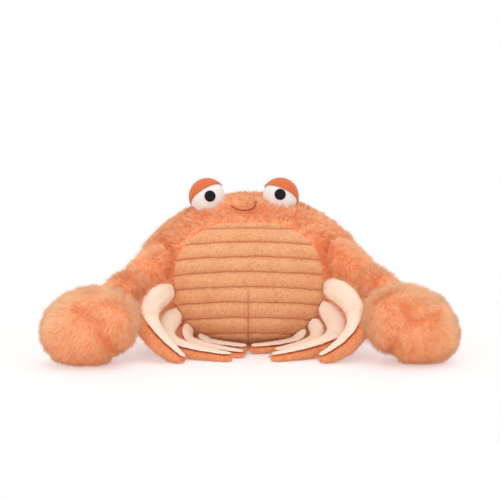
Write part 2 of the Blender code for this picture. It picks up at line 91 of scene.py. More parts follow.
# Locks: spread of length, radius and tone, a wisp's share of the stray, how far a gathered tip
# keeps its own place, how deep the root sinks, and how round the shading is at root and tip
LOCK_LENGTHS = (0.62, 1.30)
LOCK_RADII = (0.7, 1.3)
LOCK_TONES = (0.40, 0.60)
WISP_STRAY = 0.8
TIP_KEEPS = 0.4
ROOT_SINK = 0.0003
ROOT_ROUND = 0.45
TIP_ROUND = 0.4

# Seeds of the random draws
SEED = {"body_roots": 21, "rear_thinning": 22, "body_locks": 31, "limb_roots": 41,
        "limb_locks_left": 51, "limb_locks_right": 52, "leg_roots": 61, "leg_locks": 71,
        "body_drift": 11, "limb_drift": 17}

# Soft skins: voxel size and rounds of smoothing, and how far a lining lies inside its solid
BODY_FORM = (0.004, 6)
LIMB_FORM = (0.0020, 3)
LINING_FORM = (0.0012, 1)
BACK_FORM = (0.0013, 2)
LINING_INSETS = {"1": 0.0014, "2": 0.0008, "3": 0.0005, "4": 0.0005}

# How far the parts beside it shade, cover or part the fur
PANEL_SEARCH = 0.02
PANEL_SHADE_REACH = 0.018
PANEL_EDGE_REACH = 0.008
EDGE_LIFT = 0.0045
PANEL_CLEARANCE = 0.0008
EYE_CLEARANCE = 0.0016
EYE_FUR_REACH = 0.009
SMILE_REACH = 0.008
ARM_REACH = 0.014
LIMB_REACH = 0.010
LEG_COVER_REACH = 0.018
LINING_ROOM = 0.006

# Soft folds on the front of the claws, as (across, height): the dimple, then the slit of the thumb
CLAW_FOLDS = {"left": (((-0.1614, 0.0571), (-0.1518, 0.0512), (-0.1397, 0.0446)),
                       ((-0.1415, 0.0366), (-0.1320, 0.0255), (-0.1226, 0.0140))),
              "right": (((0.1400, 0.0600), (0.1480, 0.0440), (0.1745, 0.0520)),
                        ((0.1350, 0.0290), (0.1332, 0.0200), (0.1310, 0.0100)))}
FOLD_WIDTH = 0.0045
SHORT_PILE_WIDTH = 0.0030
FOLD_DEPTH = 0.0024
HOLLOW_BRIDGED = 0.70

# The body's own leaning frame, found from the left eye's place in it
LEAN = math.radians(15)
LEFT_EYE_PLACE = Vector((-0.0433, 0.0251, 0.0558))
PANEL_CENTRE = (-0.0020, -0.0322)
PANEL_HALF_WIDTH = 0.0752
PANEL_HALF_HEIGHT = 0.0600
FIRST_SEAM = PANEL_CENTRE[1] + PANEL_HALF_HEIGHT - 0.0080
SEAM_PITCH = 0.0146
SEAM_ARC = 0.0020
SEAM_WIDTH = 0.0014
SEAM_GROOVE = 0.0005
RIB_PUFF = 0.0003
SEAMED_RIBS = (-0.4, 7.4)

EYE_SUBDIVISIONS = 4
PUPIL_SCALE = (0.90, 1.0, 0.90)


# ---------------------------------------------------------------- camera, light and floor

def set_camera():
    data = bpy.data.cameras.new("camera")
    data.lens = CAMERA_LENS
    data.sensor_width = CAMERA_SENSOR
    data.clip_start, data.clip_end = 0.05, 20.0
    camera = bpy.data.objects.new("camera", data)
    bpy.context.scene.collection.objects.link(camera)
    away = Vector((0, -math.cos(CAMERA_TILT), math.sin(CAMERA_TILT)))
    camera.location = CAMERA_TARGET + away * CAMERA_DISTANCE
    camera.rotation_mode = "QUATERNION"
    camera.rotation_quaternion = (-away).to_track_quat("-Z", "Y")
    bpy.context.scene.camera = camera


def soft_lamp(name, place, aim, size, power):
    data = bpy.data.lights.new(name, "AREA")
    data.shape = "RECTANGLE"
    data.size, data.size_y = size
    data.energy = power
    lamp = bpy.data.objects.new(name, data)
    bpy.context.scene.collection.objects.link(lamp)
    lamp.location = place
    lamp.rotation_mode = "QUATERNION"
    lamp.rotation_quaternion = (Vector(aim) - Vector(place)).to_track_quat("-Z", "Y")


def seen_directly(nodes, links):
    """One for camera, glossy and transmitted rays, which all see the white background."""
    path = nodes.new("ShaderNodeLightPath")
    total = None
    for ray in ("Is Camera Ray", "Is Glossy Ray", "Is Transmission Ray"):
        if total is None:
            total = path.outputs[ray]
            continue
        add = nodes.new("ShaderNodeMath")
        add.operation = "ADD"
        add.use_clamp = True
        links.new(total, add.inputs[0])
        links.new(path.outputs[ray], add.inputs[1])
        total = add.outputs[0]
    return total


def set_world():
    world = bpy.data.worlds.new("studio")
    world.use_nodes = True
    bpy.context.scene.world = world
    nodes, links = world.node_tree.nodes, world.node_tree.links
    nodes.clear()
    light = nodes.new("ShaderNodeBackground")
    light.inputs["Color"].default_value = (*WORLD_COLOUR, 1)
    light.inputs["Strength"].default_value = WORLD_STRENGTH
    white = nodes.new("ShaderNodeBackground")
    white.inputs["Color"].default_value = (1, 1, 1, 1)
    white.inputs["Strength"].default_value = 1.0
    mix = nodes.new("ShaderNodeMixShader")
    out = nodes.new("ShaderNodeOutputWorld")
    links.new(seen_directly(nodes, links), mix.inputs[0])
    links.new(light.outputs[0], mix.inputs[1])
    links.new(white.outputs[0], mix.inputs[2])
    links.new(mix.outputs[0], out.inputs["Surface"])


def set_floor():
    bm = bmesh.new()
    bmesh.ops.create_grid(bm, x_segments=1, y_segments=1, size=FLOOR_SIZE)
    mesh = bpy.data.meshes.new("floor")
    bm.to_mesh(mesh)
    bm.free()
    floor = bpy.data.objects.new("floor", mesh)
    bpy.context.scene.collection.objects.link(floor)
    made = bpy.data.materials.new("pale_floor")
    made.use_nodes = True
    nodes, links = made.node_tree.nodes, made.node_tree.links
    shader = nodes["Principled BSDF"]
    shader.inputs["Base Color"].default_value = (*FLOOR_COLOUR, 1)
    shader.inputs["Roughness"].default_value = 0.9
    shader.inputs["Specular IOR Level"].default_value = 0.1
    glow = nodes.new("ShaderNodeEmission")
    glow.inputs["Color"].default_value = (1, 1, 1, 1)
    place = nodes.new("ShaderNodeTexCoord")
    reach = nodes.new("ShaderNodeVectorMath")
    reach.operation = "LENGTH"
    links.new(place.outputs["Object"], reach.inputs[0])
    fade = nodes.new("ShaderNodeMapRange")
    fade.interpolation_type = "SMOOTHSTEP"
    for socket, value in FLOOR_FADE.items():
        fade.inputs[socket].default_value = value
    links.new(reach.outputs["Value"], fade.inputs["Value"])
    share = nodes.new("ShaderNodeMath")
    share.operation = "MULTIPLY"
    links.new(fade.outputs["Result"], share.inputs[1])
    mix = nodes.new("ShaderNodeMixShader")
    links.new(seen_directly(nodes, links), share.inputs[0])
    links.new(share.outputs[0], mix.inputs[0])
    links.new(shader.outputs[0], mix.inputs[1])
    links.new(glow.outputs[0], mix.inputs[2])
    links.new(mix.outputs[0], nodes["Material Output"].inputs["Surface"])
    mesh.materials.append(made)


# ---------------------------------------------------------------- materials

def new_material(name):
    made = bpy.data.materials.new(name)
    made.use_nodes = True
    shader = made.node_tree.nodes["Principled BSDF"]
    shader.inputs["Roughness"].default_value = 0.9
    shader.inputs["Specular IOR Level"].default_value = 0.15
    return made, made.node_tree.nodes, made.node_tree.links, shader


def new_group(name, inputs, outputs):
    """A node group with its sockets, each given as (name, kind), and its two end nodes."""
    group = bpy.data.node_groups.new(name, "ShaderNodeTree")
    for way, sockets in (("INPUT", inputs), ("OUTPUT", outputs)):
        for socket, kind in sockets:
            group.interface.new_socket(socket, in_out=way, socket_type=f"NodeSocket{kind}")
    return group, group.nodes.new("NodeGroupInput"), group.nodes.new("NodeGroupOutput")


def pile_shade_group():
    """Colour of a lock from its own map: u is its tone, v runs from root to tip."""
    group, enter, leave = new_group(
        "pile_shade",
        (("Tone", "Float"), ("Along", "Float"), ("Root", "Color"), ("Middle", "Color"),
         ("Tip", "Color")),
        (("Color", "Color"),))
    nodes, links = group.nodes, group.links

    def spread(low, high, source, first, second):
        step = nodes.new("ShaderNodeMapRange")
        step.interpolation_type = "SMOOTHSTEP"
        step.inputs["From Min"].default_value = low
        step.inputs["From Max"].default_value = high
        links.new(source, step.inputs["Value"])
        mix = nodes.new("ShaderNodeMix")
        mix.data_type = "RGBA"
        links.new(step.outputs["Result"], mix.inputs["Factor"])
        links.new(first, mix.inputs["A"])
        links.new(second, mix.inputs["B"])
        return mix.outputs["Result"]

    paler = nodes.new("ShaderNodeMapRange")
    paler.inputs["To Min"].default_value = -TONE_SHIFT
    paler.inputs["To Max"].default_value = TONE_SHIFT
    links.new(enter.outputs["Tone"], paler.inputs["Value"])
    along = nodes.new("ShaderNodeMath")
    links.new(enter.outputs["Along"], along.inputs[0])
    links.new(paler.outputs["Result"], along.inputs[1])
    low = spread(0.0, 0.55, along.outputs[0], enter.outputs["Root"], enter.outputs["Middle"])
    full = spread(0.45, 1.0, along.outputs[0], low, enter.outputs["Tip"])
    tone = nodes.new("ShaderNodeMapRange")
    tone.inputs["To Min"].default_value = TONE_VALUES[0]
    tone.inputs["To Max"].default_value = TONE_VALUES[1]
    links.new(enter.outputs["Tone"], tone.inputs["Value"])
    value = nodes.new("ShaderNodeHueSaturation")
    links.new(full, value.inputs["Color"])
    links.new(tone.outputs["Result"], value.inputs["Value"])
    links.new(value.outputs["Color"], leave.inputs["Color"])
    return group


def speckle_group():
    """Cloth colour with soft patches and fine speckles, and a matching height."""
    group, enter, leave = new_group(
        "cloth_speckle",
        (("Base", "Color"), ("Deep", "Color"), ("Patch Scale", "Float"), ("Speck Scale", "Float"),
         ("Patch", "Float"), ("Speck", "Float")),
        (("Color", "Color"), ("Height", "Float")))
    nodes, links = group.nodes, group.links
    place = nodes.new("ShaderNodeTexCoord")

    def noise(scale, detail, low, high):
        made = nodes.new("ShaderNodeTexNoise")
        made.inputs["Detail"].default_value = detail
        links.new(place.outputs["Object"], made.inputs["Vector"])
        links.new(scale, made.inputs["Scale"])
        ramp = nodes.new("ShaderNodeMapRange")
        ramp.inputs["From Min"].default_value = low
        ramp.inputs["From Max"].default_value = high
        links.new(made.outputs["Fac"], ramp.inputs["Value"])
        return ramp.outputs["Result"]

    def product(first, second):
        node = nodes.new("ShaderNodeMath")
        node.operation = "MULTIPLY"
        links.new(first, node.inputs[0])
        links.new(second, node.inputs[1])
        return node.outputs[0]

    patch = noise(enter.outputs["Patch Scale"], 3.0, 0.35, 0.70)
    speck = noise(enter.outputs["Speck Scale"], 1.0, 0.60, 0.74)
    total = nodes.new("ShaderNodeMath")
    total.use_clamp = True
    links.new(product(patch, enter.outputs["Patch"]), total.inputs[0])
    links.new(product(speck, enter.outputs["Speck"]), total.inputs[1])
    mix = nodes.new("ShaderNodeMix")
    mix.data_type = "RGBA"
    links.new(total.outputs[0], mix.inputs["Factor"])
    links.new(enter.outputs["Base"], mix.inputs["A"])
    links.new(enter.outputs["Deep"], mix.inputs["B"])
    links.new(mix.outputs["Result"], leave.inputs["Color"])
    flip = nodes.new("ShaderNodeMath")
    flip.operation = "SUBTRACT"
    flip.inputs[0].default_value = 1.0
    links.new(speck, flip.inputs[1])
    links.new(flip.outputs[0], leave.inputs["Height"])
    return group


PILE_SHADE = pile_shade_group()
CLOTH_SPECKLE = speckle_group()


def pile_material(name, root, middle, tip):
    made, nodes, links, shader = new_material(name)
    lock_map = nodes.new("ShaderNodeUVMap")
    lock_map.uv_map = "OFBake"
    split = nodes.new("ShaderNodeSeparateXYZ")
    links.new(lock_map.outputs["UV"], split.inputs[0])
    shade = nodes.new("ShaderNodeGroup")
    shade.node_tree = PILE_SHADE
    for socket, value in (("Root", root), ("Middle", middle), ("Tip", tip)):
        shade.inputs[socket].default_value = (*value, 1)
    links.new(split.outputs["X"], shade.inputs["Tone"])
    links.new(split.outputs["Y"], shade.inputs["Along"])
    links.new(shade.outputs["Color"], shader.inputs["Base Color"])
    links.new(shade.outputs["Color"], shader.inputs["Emission Color"])
    shader.inputs["Emission Strength"].default_value = PILE_GLOW
    shader.inputs["Sheen Weight"].default_value = PILE_SHEEN
    shader.inputs["Sheen Roughness"].default_value = 0.5
    shader.inputs["Sheen Tint"].default_value = (1.0, 0.75, 0.55, 1)
    return made


def cloth_material(name, base, deep, patch_scale, speck_scale, patch, speck, bump, sheen=0.2):
    made, nodes, links, shader = new_material(name)
    cloth = nodes.new("ShaderNodeGroup")
    cloth.node_tree = CLOTH_SPECKLE
    cloth.inputs["Base"].default_value = (*base, 1)
    cloth.inputs["Deep"].default_value = (*deep, 1)
    for socket, value in (("Patch Scale", patch_scale), ("Speck Scale", speck_scale),
                          ("Patch", patch), ("Speck", speck)):
        cloth.inputs[socket].default_value = value
    relief = nodes.new("ShaderNodeBump")
    relief.inputs["Strength"].default_value = 0.5
    relief.inputs["Distance"].default_value = bump
    links.new(cloth.outputs["Height"], relief.inputs["Height"])
    links.new(relief.outputs["Normal"], shader.inputs["Normal"])
    links.new(cloth.outputs["Color"], shader.inputs["Base Color"])
    shader.inputs["Sheen Weight"].default_value = sheen
    shader.inputs["Sheen Roughness"].default_value = 0.5
    return made


def belly_material():
    """Velour with stitched seams, from the panel's own map: half widths across, ribs down."""
    made, nodes, links, shader = new_material("belly_velour")

    def math_node(operation, first, second=None, third=None):
        node = nodes.new("ShaderNodeMath")
        node.operation = operation
        for socket, source in zip(node.inputs, (first, second, third)):
            if source is None:
                continue
            if isinstance(source, float):
                socket.default_value = source
            else:
                links.new(source, socket)
        return node.outputs[0]

    def ramp(source, low, high, soft=True):
        node = nodes.new("ShaderNodeMapRange")
        node.interpolation_type = "SMOOTHSTEP" if soft else "LINEAR"
        node.inputs["From Min"].default_value = low
        node.inputs["From Max"].default_value = high
        links.new(source, node.inputs["Value"])
        return node.outputs["Result"]

    rib_map = nodes.new("ShaderNodeUVMap")
    rib_map.uv_map = "ribs"
    split = nodes.new("ShaderNodeSeparateXYZ")
    links.new(rib_map.outputs["UV"], split.inputs[0])
    place = nodes.new("ShaderNodeTexCoord")

    def noise(scale, detail, stretch=(1, 1, 1)):
        turn = nodes.new("ShaderNodeMapping")
        turn.inputs["Scale"].default_value = stretch
        links.new(place.outputs["Object"], turn.inputs["Vector"])
        node = nodes.new("ShaderNodeTexNoise")
        node.inputs["Scale"].default_value = scale
        node.inputs["Detail"].default_value = detail
        links.new(turn.outputs["Vector"], node.inputs["Vector"])
        return node.outputs["Fac"]

    wander = math_node("SUBTRACT", noise(70, 3.0), 0.5)
    down = math_node("MULTIPLY_ADD", wander, 0.20, split.outputs["Y"])
    off_seam = math_node("FRACT", math_node("ADD", down, 0.5))
    off_seam = math_node("ABSOLUTE", math_node("SUBTRACT", off_seam, 0.5))
    seam = math_node("SUBTRACT", 1.0, ramp(off_seam, 0.012, 0.052))
    valley = math_node("SUBTRACT", 1.0, ramp(off_seam, 0.02, 0.20))
    side = math_node("ABSOLUTE", math_node("MULTIPLY_ADD", wander, 0.02, split.outputs["X"]))
    pleat = math_node("SUBTRACT", 1.0, ramp(side, 0.004, 0.014))
    pleat = math_node("MULTIPLY", pleat, ramp(split.outputs["Y"], 3.9, 4.5))
    lines = math_node("MAXIMUM", seam, math_node("MULTIPLY", pleat, 0.8))

    patch = ramp(noise(45, 3.0), 0.35, 0.70)
    nap = ramp(noise(520, 2.0, (1.0, 1.0, 0.45)), 0.40, 0.66)
    speck = ramp(noise(760, 1.0), 0.60, 0.70)
    marks_and_shade = math_node("MULTIPLY", patch, 0.22)
    marks_and_shade = math_node("MULTIPLY_ADD", nap, 0.34, marks_and_shade)
    marks_and_shade = math_node("MULTIPLY_ADD", speck, 0.85, marks_and_shade)
    # Painted shade: the cloth is darker in the valleys between the ribs
    marks_and_shade = math_node("MULTIPLY_ADD", valley, 0.26, marks_and_shade)
    marks_and_shade = math_node("MINIMUM", marks_and_shade, 1.0)

    def blend(factor, first, second):
        node = nodes.new("ShaderNodeMix")
        node.data_type = "RGBA"
        links.new(factor, node.inputs["Factor"])
        for socket, source in (("A", first), ("B", second)):
            if isinstance(source, tuple):
                node.inputs[socket].default_value = (*source, 1)
            else:
                links.new(source, node.inputs[socket])
        return node.outputs["Result"]

    cloth = blend(marks_and_shade, (0.86, 0.435, 0.222), (0.70, 0.265, 0.112))
    seamed = blend(math_node("MULTIPLY", lines, 0.72), cloth, (0.66, 0.175, 0.070))
    links.new(seamed, shader.inputs["Base Color"])
    height = math_node("MULTIPLY", valley, -0.25)
    height = math_node("MULTIPLY_ADD", lines, -0.45, height)
    height = math_node("MULTIPLY_ADD", nap, -0.12, height)
    height = math_node("MULTIPLY_ADD", speck, -0.12, height)
    relief = nodes.new("ShaderNodeBump")
    relief.inputs["Strength"].default_value = 0.8
    relief.inputs["Distance"].default_value = 0.0022
    links.new(height, relief.inputs["Height"])
    links.new(relief.outputs["Normal"], shader.inputs["Normal"])
    shader.inputs["Sheen Weight"].default_value = 0.35
    shader.inputs["Sheen Roughness"].default_value = 0.4
    shader.inputs["Sheen Tint"].default_value = (1.0, 0.80, 0.62, 1)
    return made


# Darker roots than tips: partly the pile's own colour, partly painted shade deep in the pile
BODY_PILE_FINISH = pile_material("body_pile", root=(0.82, 0.19, 0.070),
                                 middle=(0.93, 0.29, 0.125), tip=(0.98, 0.47, 0.26))
ARM_PILE_FINISH = pile_material("arm_pile", root=(0.82, 0.19, 0.070),
                                middle=(0.93, 0.30, 0.130), tip=(0.98, 0.47, 0.26))
CLAW_PILE_FINISH = pile_material("claw_pile", root=(0.86, 0.22, 0.085),
                                 middle=(0.94, 0.365, 0.172), tip=(0.97, 0.52, 0.295))
LEG_PILE_FINISH = pile_material("leg_pile", root=(0.88, 0.28, 0.110),
                                middle=(0.95, 0.37, 0.165), tip=(0.98, 0.46, 0.25))
SKIN_FINISH = cloth_material("under_cloth", base=(0.86, 0.22, 0.08), deep=(0.76, 0.17, 0.055),
                             patch_scale=60, speck_scale=900, patch=0.6, speck=0.3, bump=0.0002)
BELLY_FINISH = belly_material()
LINING_FINISH = cloth_material("cream_lining", base=(0.95, 0.76, 0.61), deep=(0.88, 0.63, 0.47),
                               patch_scale=42, speck_scale=1300, patch=0.30, speck=0.22,
                               bump=0.0003, sheen=0.3)
BACK_FINISH = cloth_material("leg_back_cloth", base=(0.86, 0.27, 0.10), deep=(0.78, 0.20, 0.07),
                             patch_scale=60, speck_scale=900, patch=0.5, speck=0.4, bump=0.0003)
LID_FINISH = cloth_material("lid_suede", base=(0.70, 0.160, 0.050), deep=(0.63, 0.130, 0.038),
                            patch_scale=120, speck_scale=2200, patch=0.35, speck=0.4, bump=0.0001)
EYE_FINISH = cloth_material("eye_jersey", base=(0.86, 0.83, 0.79), deep=(0.78, 0.73, 0.68),
                            patch_scale=90, speck_scale=2500, patch=0.25, speck=0.3, bump=0.0001)
PUPIL_FINISH = cloth_material("pupil_cloth", base=(0.012, 0.010, 0.009), deep=(0.03, 0.025, 0.02),
                              patch_scale=300, speck_scale=3000, patch=0.4, speck=0.4,
                              bump=0.0001, sheen=0.0)
THREAD_FINISH = cloth_material("smile_thread", base=(0.45, 0.11, 0.04), deep=(0.30, 0.06, 0.02),
                               patch_scale=300, speck_scale=2500, patch=0.5, speck=0.5,
                               bump=0.0001, sheen=0.1)


# ---------------------------------------------------------------- shapes

def cad_shape(*nodes):
    """The CAD nodes' meshes as one bmesh, with the loose triangles joined."""
    bm = bmesh.new()
    for node in nodes:
        bm.from_mesh(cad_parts[node].data)
    bmesh.ops.remove_doubles(bm, verts=bm.verts, dist=1e-6)
    return bm


def shaped(bm, *modifiers):
    """The bmesh after modifiers, each given as (type, {setting: value})."""
    mesh = bpy.data.meshes.new("working")
    bm.to_mesh(mesh)
    bm.free()
    worker = bpy.data.objects.new("working", mesh)
    bpy.context.scene.collection.objects.link(worker)
    for kind, settings in modifiers:
        modifier = worker.modifiers.new(kind.lower(), kind)
        for setting, value in settings.items():
            setattr(modifier, setting, value)
    graph = bpy.context.evaluated_depsgraph_get()
    bm = bmesh.new()
    bm.from_mesh(worker.evaluated_get(graph).to_mesh())
    bpy.data.objects.remove(worker)
    bpy.data.meshes.remove(mesh)
    bm.normal_update()
    return bm


def softened(bm, voxel, rounds):
    return shaped(bm, ("REMESH", {"mode": "VOXEL", "voxel_size": voxel}),
                  ("SMOOTH", {"factor": 0.5, "iterations": rounds}))


def inset(bm, depth):
    bm.normal_update()
    for vert, shift in [(v, v.normal * -depth) for v in bm.verts]:
        vert.co += shift
    bm.normal_update()


def piece(bm, name, finish, slot, *replaced):
    mesh = bpy.data.meshes.new(name)
    bm.to_mesh(mesh)
    bm.free()
    for face in mesh.polygons:
        face.use_smooth = True
    mesh.materials.append(finish)
    obj = bpy.data.objects.new(name, mesh)
    bpy.context.scene.collection.objects.link(obj)
    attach(obj, "root")
    if replaced:
        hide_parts(*replaced)
    return obj


def surface_tree(obj):
    bm = bmesh.new()
    bm.from_mesh(obj.data)
    tree = BVHTree.FromBMesh(bm)
    bm.free()
    return tree


# ---------------------------------------------------------------- pile

def unit(vectors):
    return vectors / np.maximum(np.linalg.norm(vectors, axis=1, keepdims=True), 1e-9)


def flat_on(vectors, normals):
    """The part of the vectors that lies in the skin."""
    return vectors - normals * np.sum(vectors * normals, axis=1, keepdims=True)


def drift(points, size, seed):
    """Smooth vector noise: a sum of waves of about one size."""
    rng = np.random.default_rng(seed)
    total = np.zeros_like(points)
    for _ in range(7):
        wave = rng.normal(size=3) * 2 * math.pi / size * rng.uniform(0.5, 1.2)
        total += np.sin(points @ wave + rng.uniform(0, 2 * math.pi))[:, None] * rng.normal(size=3)
    return total / 2.6


def places_on(skin, crowd, seed):
    """Even random places on a skin, with their smooth normals."""
    mesh = skin.data
    mesh.calc_loop_triangles()
    spots = np.empty(len(mesh.vertices) * 3)
    mesh.vertices.foreach_get("co", spots)
    normals = np.empty(len(mesh.vertices) * 3)
    mesh.vertices.foreach_get("normal", normals)
    corners = np.empty(len(mesh.loop_triangles) * 3, np.int32)
    mesh.loop_triangles.foreach_get("vertices", corners)
    spots, normals, corners = spots.reshape(-1, 3), normals.reshape(-1, 3), corners.reshape(-1, 3)
    a, b, c = (spots[corners[:, n]] for n in range(3))
    area = np.linalg.norm(np.cross(b - a, c - a), axis=1) / 2
    total = area.cumsum()
    count = int(total[-1] * 1e6 * crowd)
    rng = np.random.default_rng(seed)
    pick = np.searchsorted(total, (np.arange(count) + rng.random(count)) / count * total[-1])
    pick = np.minimum(pick, len(corners) - 1)
    first = np.sqrt(rng.random(count))[:, None]
    second = rng.random(count)[:, None]
    shares = (1 - first, first * (1 - second), first * second)
    found = [sum(share * values[corners[pick, n]] for n, share in enumerate(shares))
             for values in (spots, normals)]
    return found[0], unit(found[1])


def nearest_of(points, among):
    """Index of the nearest of some points, for each point."""
    tree = KDTree(len(among))
    for n, spot in enumerate(among):
        tree.insert(spot, n)
    tree.balance()
    return np.array([tree.find(spot)[1] for spot in points])


def grow_pile(name, roots, normals, pile, comb, finish, seed, stretch=None, tone=None,
              pull=None, keep_out=None):
    """Three-sided tapering locks, loosely gathered at their tips."""
    rng = np.random.default_rng(seed)
    count = len(roots)
    flow = comb(roots, normals)
    if pull is not None:
        own_share = np.clip(1 - np.linalg.norm(pull, axis=1, keepdims=True), 0.1, 1)
        flow = flow * own_share + flat_on(pull, normals)
    heads = rng.choice(count, max(2, count // pile["clump"]), replace=False)
    owner = heads[nearest_of(roots, roots[heads])]
    length = pile["length"] * rng.uniform(*LOCK_LENGTHS, count)
    length *= 1 + 0.14 * drift(roots, 0.016, seed + 5)[:, 0]
    if stretch is not None:
        length *= stretch
    stray = rng.normal(size=(count, 3)) * pile["stray"]
    way = unit(normals + flow * pile["lie"] + stray + stray[owner] * WISP_STRAY)
    tips = roots + way * length[:, None]
    tips += (tips[owner] + (roots - roots[owner]) * TIP_KEEPS - tips) * pile["gather"]
    if keep_out is not None:
        tips = keep_out(tips)
    tips[:, 2] = np.maximum(tips[:, 2], LOWEST)
    along = unit(tips - roots)
    side = unit(np.cross(along, rng.normal(size=(count, 3))))
    other = np.cross(along, side)
    radius = pile["radius"] * rng.uniform(*LOCK_RADII, count)
    lit = unit(normals + np.array([0.0, 0.0, LIGHT_LIFT]))
    verts = np.empty((count, 4, 3))
    shade = np.empty((count, 4, 3))
    for n in range(3):
        turn = 2 * math.pi * n / 3
        out = math.cos(turn) * side + math.sin(turn) * other
        verts[:, n] = roots - normals * ROOT_SINK + out * radius[:, None]
        shade[:, n] = unit(lit + out * ROOT_ROUND)
    verts[:, 3] = tips
    verts[:, :, 2] = np.maximum(verts[:, :, 2], LOWEST)
    shade[:, 3] = unit(lit + along * TIP_ROUND)
    faces = np.array([(0, 1, 3), (1, 2, 3), (2, 0, 3)])
    every = (faces[None] + 4 * np.arange(count)[:, None, None]).reshape(-1)
    mesh = bpy.data.meshes.new(name)
    mesh.vertices.add(4 * count)
    mesh.vertices.foreach_set("co", verts.astype(np.float32).ravel())
    mesh.loops.add(len(every))
    mesh.loops.foreach_set("vertex_index", every.astype(np.int32))
    mesh.polygons.add(len(every) // 3)
    mesh.polygons.foreach_set("loop_start", np.arange(0, len(every), 3, dtype=np.int32))
    mesh.update(calc_edges=True)
    mesh.polygons.foreach_set("use_smooth", np.ones(len(mesh.polygons), bool))
    own_tone = rng.uniform(*LOCK_TONES, count)
    own_tone = own_tone + rng.uniform(-1, 1, count)[owner] * pile["wisp"]
    own_tone += 0.06 * drift(roots, 0.05, seed + 9)[:, 1]
    if tone is not None:
        own_tone += tone
    own_tone = np.clip(own_tone, 0.03, 0.97)
    maps = np.empty((count, 4, 2))
    maps[:, :, 0] = own_tone[:, None] + np.array([-0.01, 0.0, 0.01, 0.0])
    maps[:, :, 1] = np.array([0.02, 0.02, 0.02, 0.98])
    layer = mesh.uv_layers.new(name="OFBake")
    layer.data.foreach_set("uv", maps.reshape(-1, 2)[every].astype(np.float32).ravel())
    mesh.normals_split_custom_set_from_vertices(shade.reshape(-1, 3))
    mesh.materials.append(finish)
    obj = bpy.data.objects.new(name, mesh)
    bpy.context.scene.collection.objects.link(obj)
    obj.visible_shadow = obj.visible_diffuse = False
    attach(obj, "root")
    return obj


def bridge_hollows(bm, share):
    """Draw the creases and dimples part of the way out to the taut cover over them."""
    cover_bm = bm.copy()
    hull = bmesh.ops.convex_hull(cover_bm, input=cover_bm.verts)
    cover = {face for face in hull["geom"] if isinstance(face, bmesh.types.BMFace)}
    inner = [face for face in cover_bm.faces if face not in cover]
    bmesh.ops.delete(cover_bm, geom=inner, context="FACES")
    tree = BVHTree.FromBMesh(cover_bm)
    cover_bm.free()
    for vert in bm.verts:
        vert.co += (tree.find_nearest(vert.co)[0] - vert.co) * share
    bmesh.ops.smooth_vert(bm, verts=bm.verts, factor=0.5,
                          use_axis_x=True, use_axis_y=True, use_axis_z=True)
    bm.normal_update()


def fold_depth(points, normals, folds, width):
    """One on the line of a fold and nought away from it, on the side that faces the front."""
    depth = np.zeros(len(points))
    flat = points[:, [0, 2]]
    for fold in folds:
        for start, end in zip(fold, fold[1:]):
            start, run = np.array(start), np.array(end) - np.array(start)
            share = np.clip((flat - start) @ run / (run @ run), 0, 1)
            reach = np.linalg.norm(flat - start - share[:, None] * run, axis=1)
            depth = np.maximum(depth, np.exp(-(reach / width) ** 2))
    return depth * np.clip(-normals[:, 1] * 2, 0, 1)


set_camera()
set_world()
set_floor()
soft_lamp("front_softbox", place=(-0.5, -1.6, 1.3), aim=(0, 0, 0.08), size=(1.6, 1.2), power=9)
soft_lamp("top_softbox", place=(0.2, 0.1, 1.7), aim=(0, 0, 0.05), size=(1.6, 1.6), power=8)

# Eyes: the CAD balls, lids and pupils again, rounder
EYES = {}
for side in SIDES:
    low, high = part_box(f"eye_ball_{side}")
    centre, radius = (low + high) / 2, (high.x - low.x) / 2
    EYES[side] = (np.array(centre), radius)
    bm = bmesh.new()
    bmesh.ops.create_icosphere(bm, subdivisions=EYE_SUBDIVISIONS, radius=radius,
                               matrix=Matrix.Translation(centre))
    ball = piece(bm, f"eye_{side}", EYE_FINISH, "eye_cloth", f"eye_ball_{side}")
    for node, finish, slot in (("eyelid", LID_FINISH, "lid_felt"),
                               ("pupil", PUPIL_FINISH, "pupil_felt")):
        bm = shaped(cad_shape(f"{node}_{side}"), ("SUBSURF", {"levels": 2, "render_levels": 2}))
        if node == "pupil":
            low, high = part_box(f"pupil_{side}")
            bmesh.ops.scale(bm, vec=PUPIL_SCALE, verts=bm.verts,
                            space=Matrix.Translation(-(low + high) / 2))
        piece(bm, f"{node}_{side}_cloth", finish, slot, f"{node}_{side}")

# Belly panel: the CAD panel again, finer, with crisper seams and its own map
turned = Matrix(((1, 0, 0),
                 (0, -math.cos(LEAN), math.sin(LEAN)),
                 (0, math.sin(LEAN), math.cos(LEAN))))
BODY_CENTRE = Vector(EYES["left"][0]) - turned @ LEFT_EYE_PLACE


def panel_place(spot):
    """A place as (across the panel in half widths, ribs below the first seam)."""
    across, ahead, up = turned.transposed() @ (spot - BODY_CENTRE)
    share = (across - PANEL_CENTRE[0]) / PANEL_HALF_WIDTH
    return share, (FIRST_SEAM - up - SEAM_ARC * share ** 2) / SEAM_PITCH


bm = shaped(cad_shape("belly_panel"), ("SUBSURF", {"levels": 2, "render_levels": 2}))
for vert in bm.verts:
    share, ribs = panel_place(vert.co)
    facing = max(0.0, vert.normal.dot(turned @ Vector((0, 1, 0))))
    seamed = SEAMED_RIBS[0] < ribs < SEAMED_RIBS[1]
    off_seam = abs(ribs - round(ribs)) * SEAM_PITCH if seamed else 1.0
    groove = math.exp(-(off_seam / SEAM_WIDTH) ** 2) * SEAM_GROOVE
    puff = RIB_PUFF * math.cos(math.pi * min(1.0, off_seam / SEAM_PITCH * 2 - 1))
    vert.co -= vert.normal * facing * (groove - puff)
ribs_map = bm.loops.layers.uv.new("ribs")
for face in bm.faces:
    for loop in face.loops:
        loop[ribs_map].uv = panel_place(loop.vert.co)
belly = piece(bm, "belly_velour", BELLY_FINISH, "belly_pile", "belly_panel")
belly_tree = surface_tree(belly)

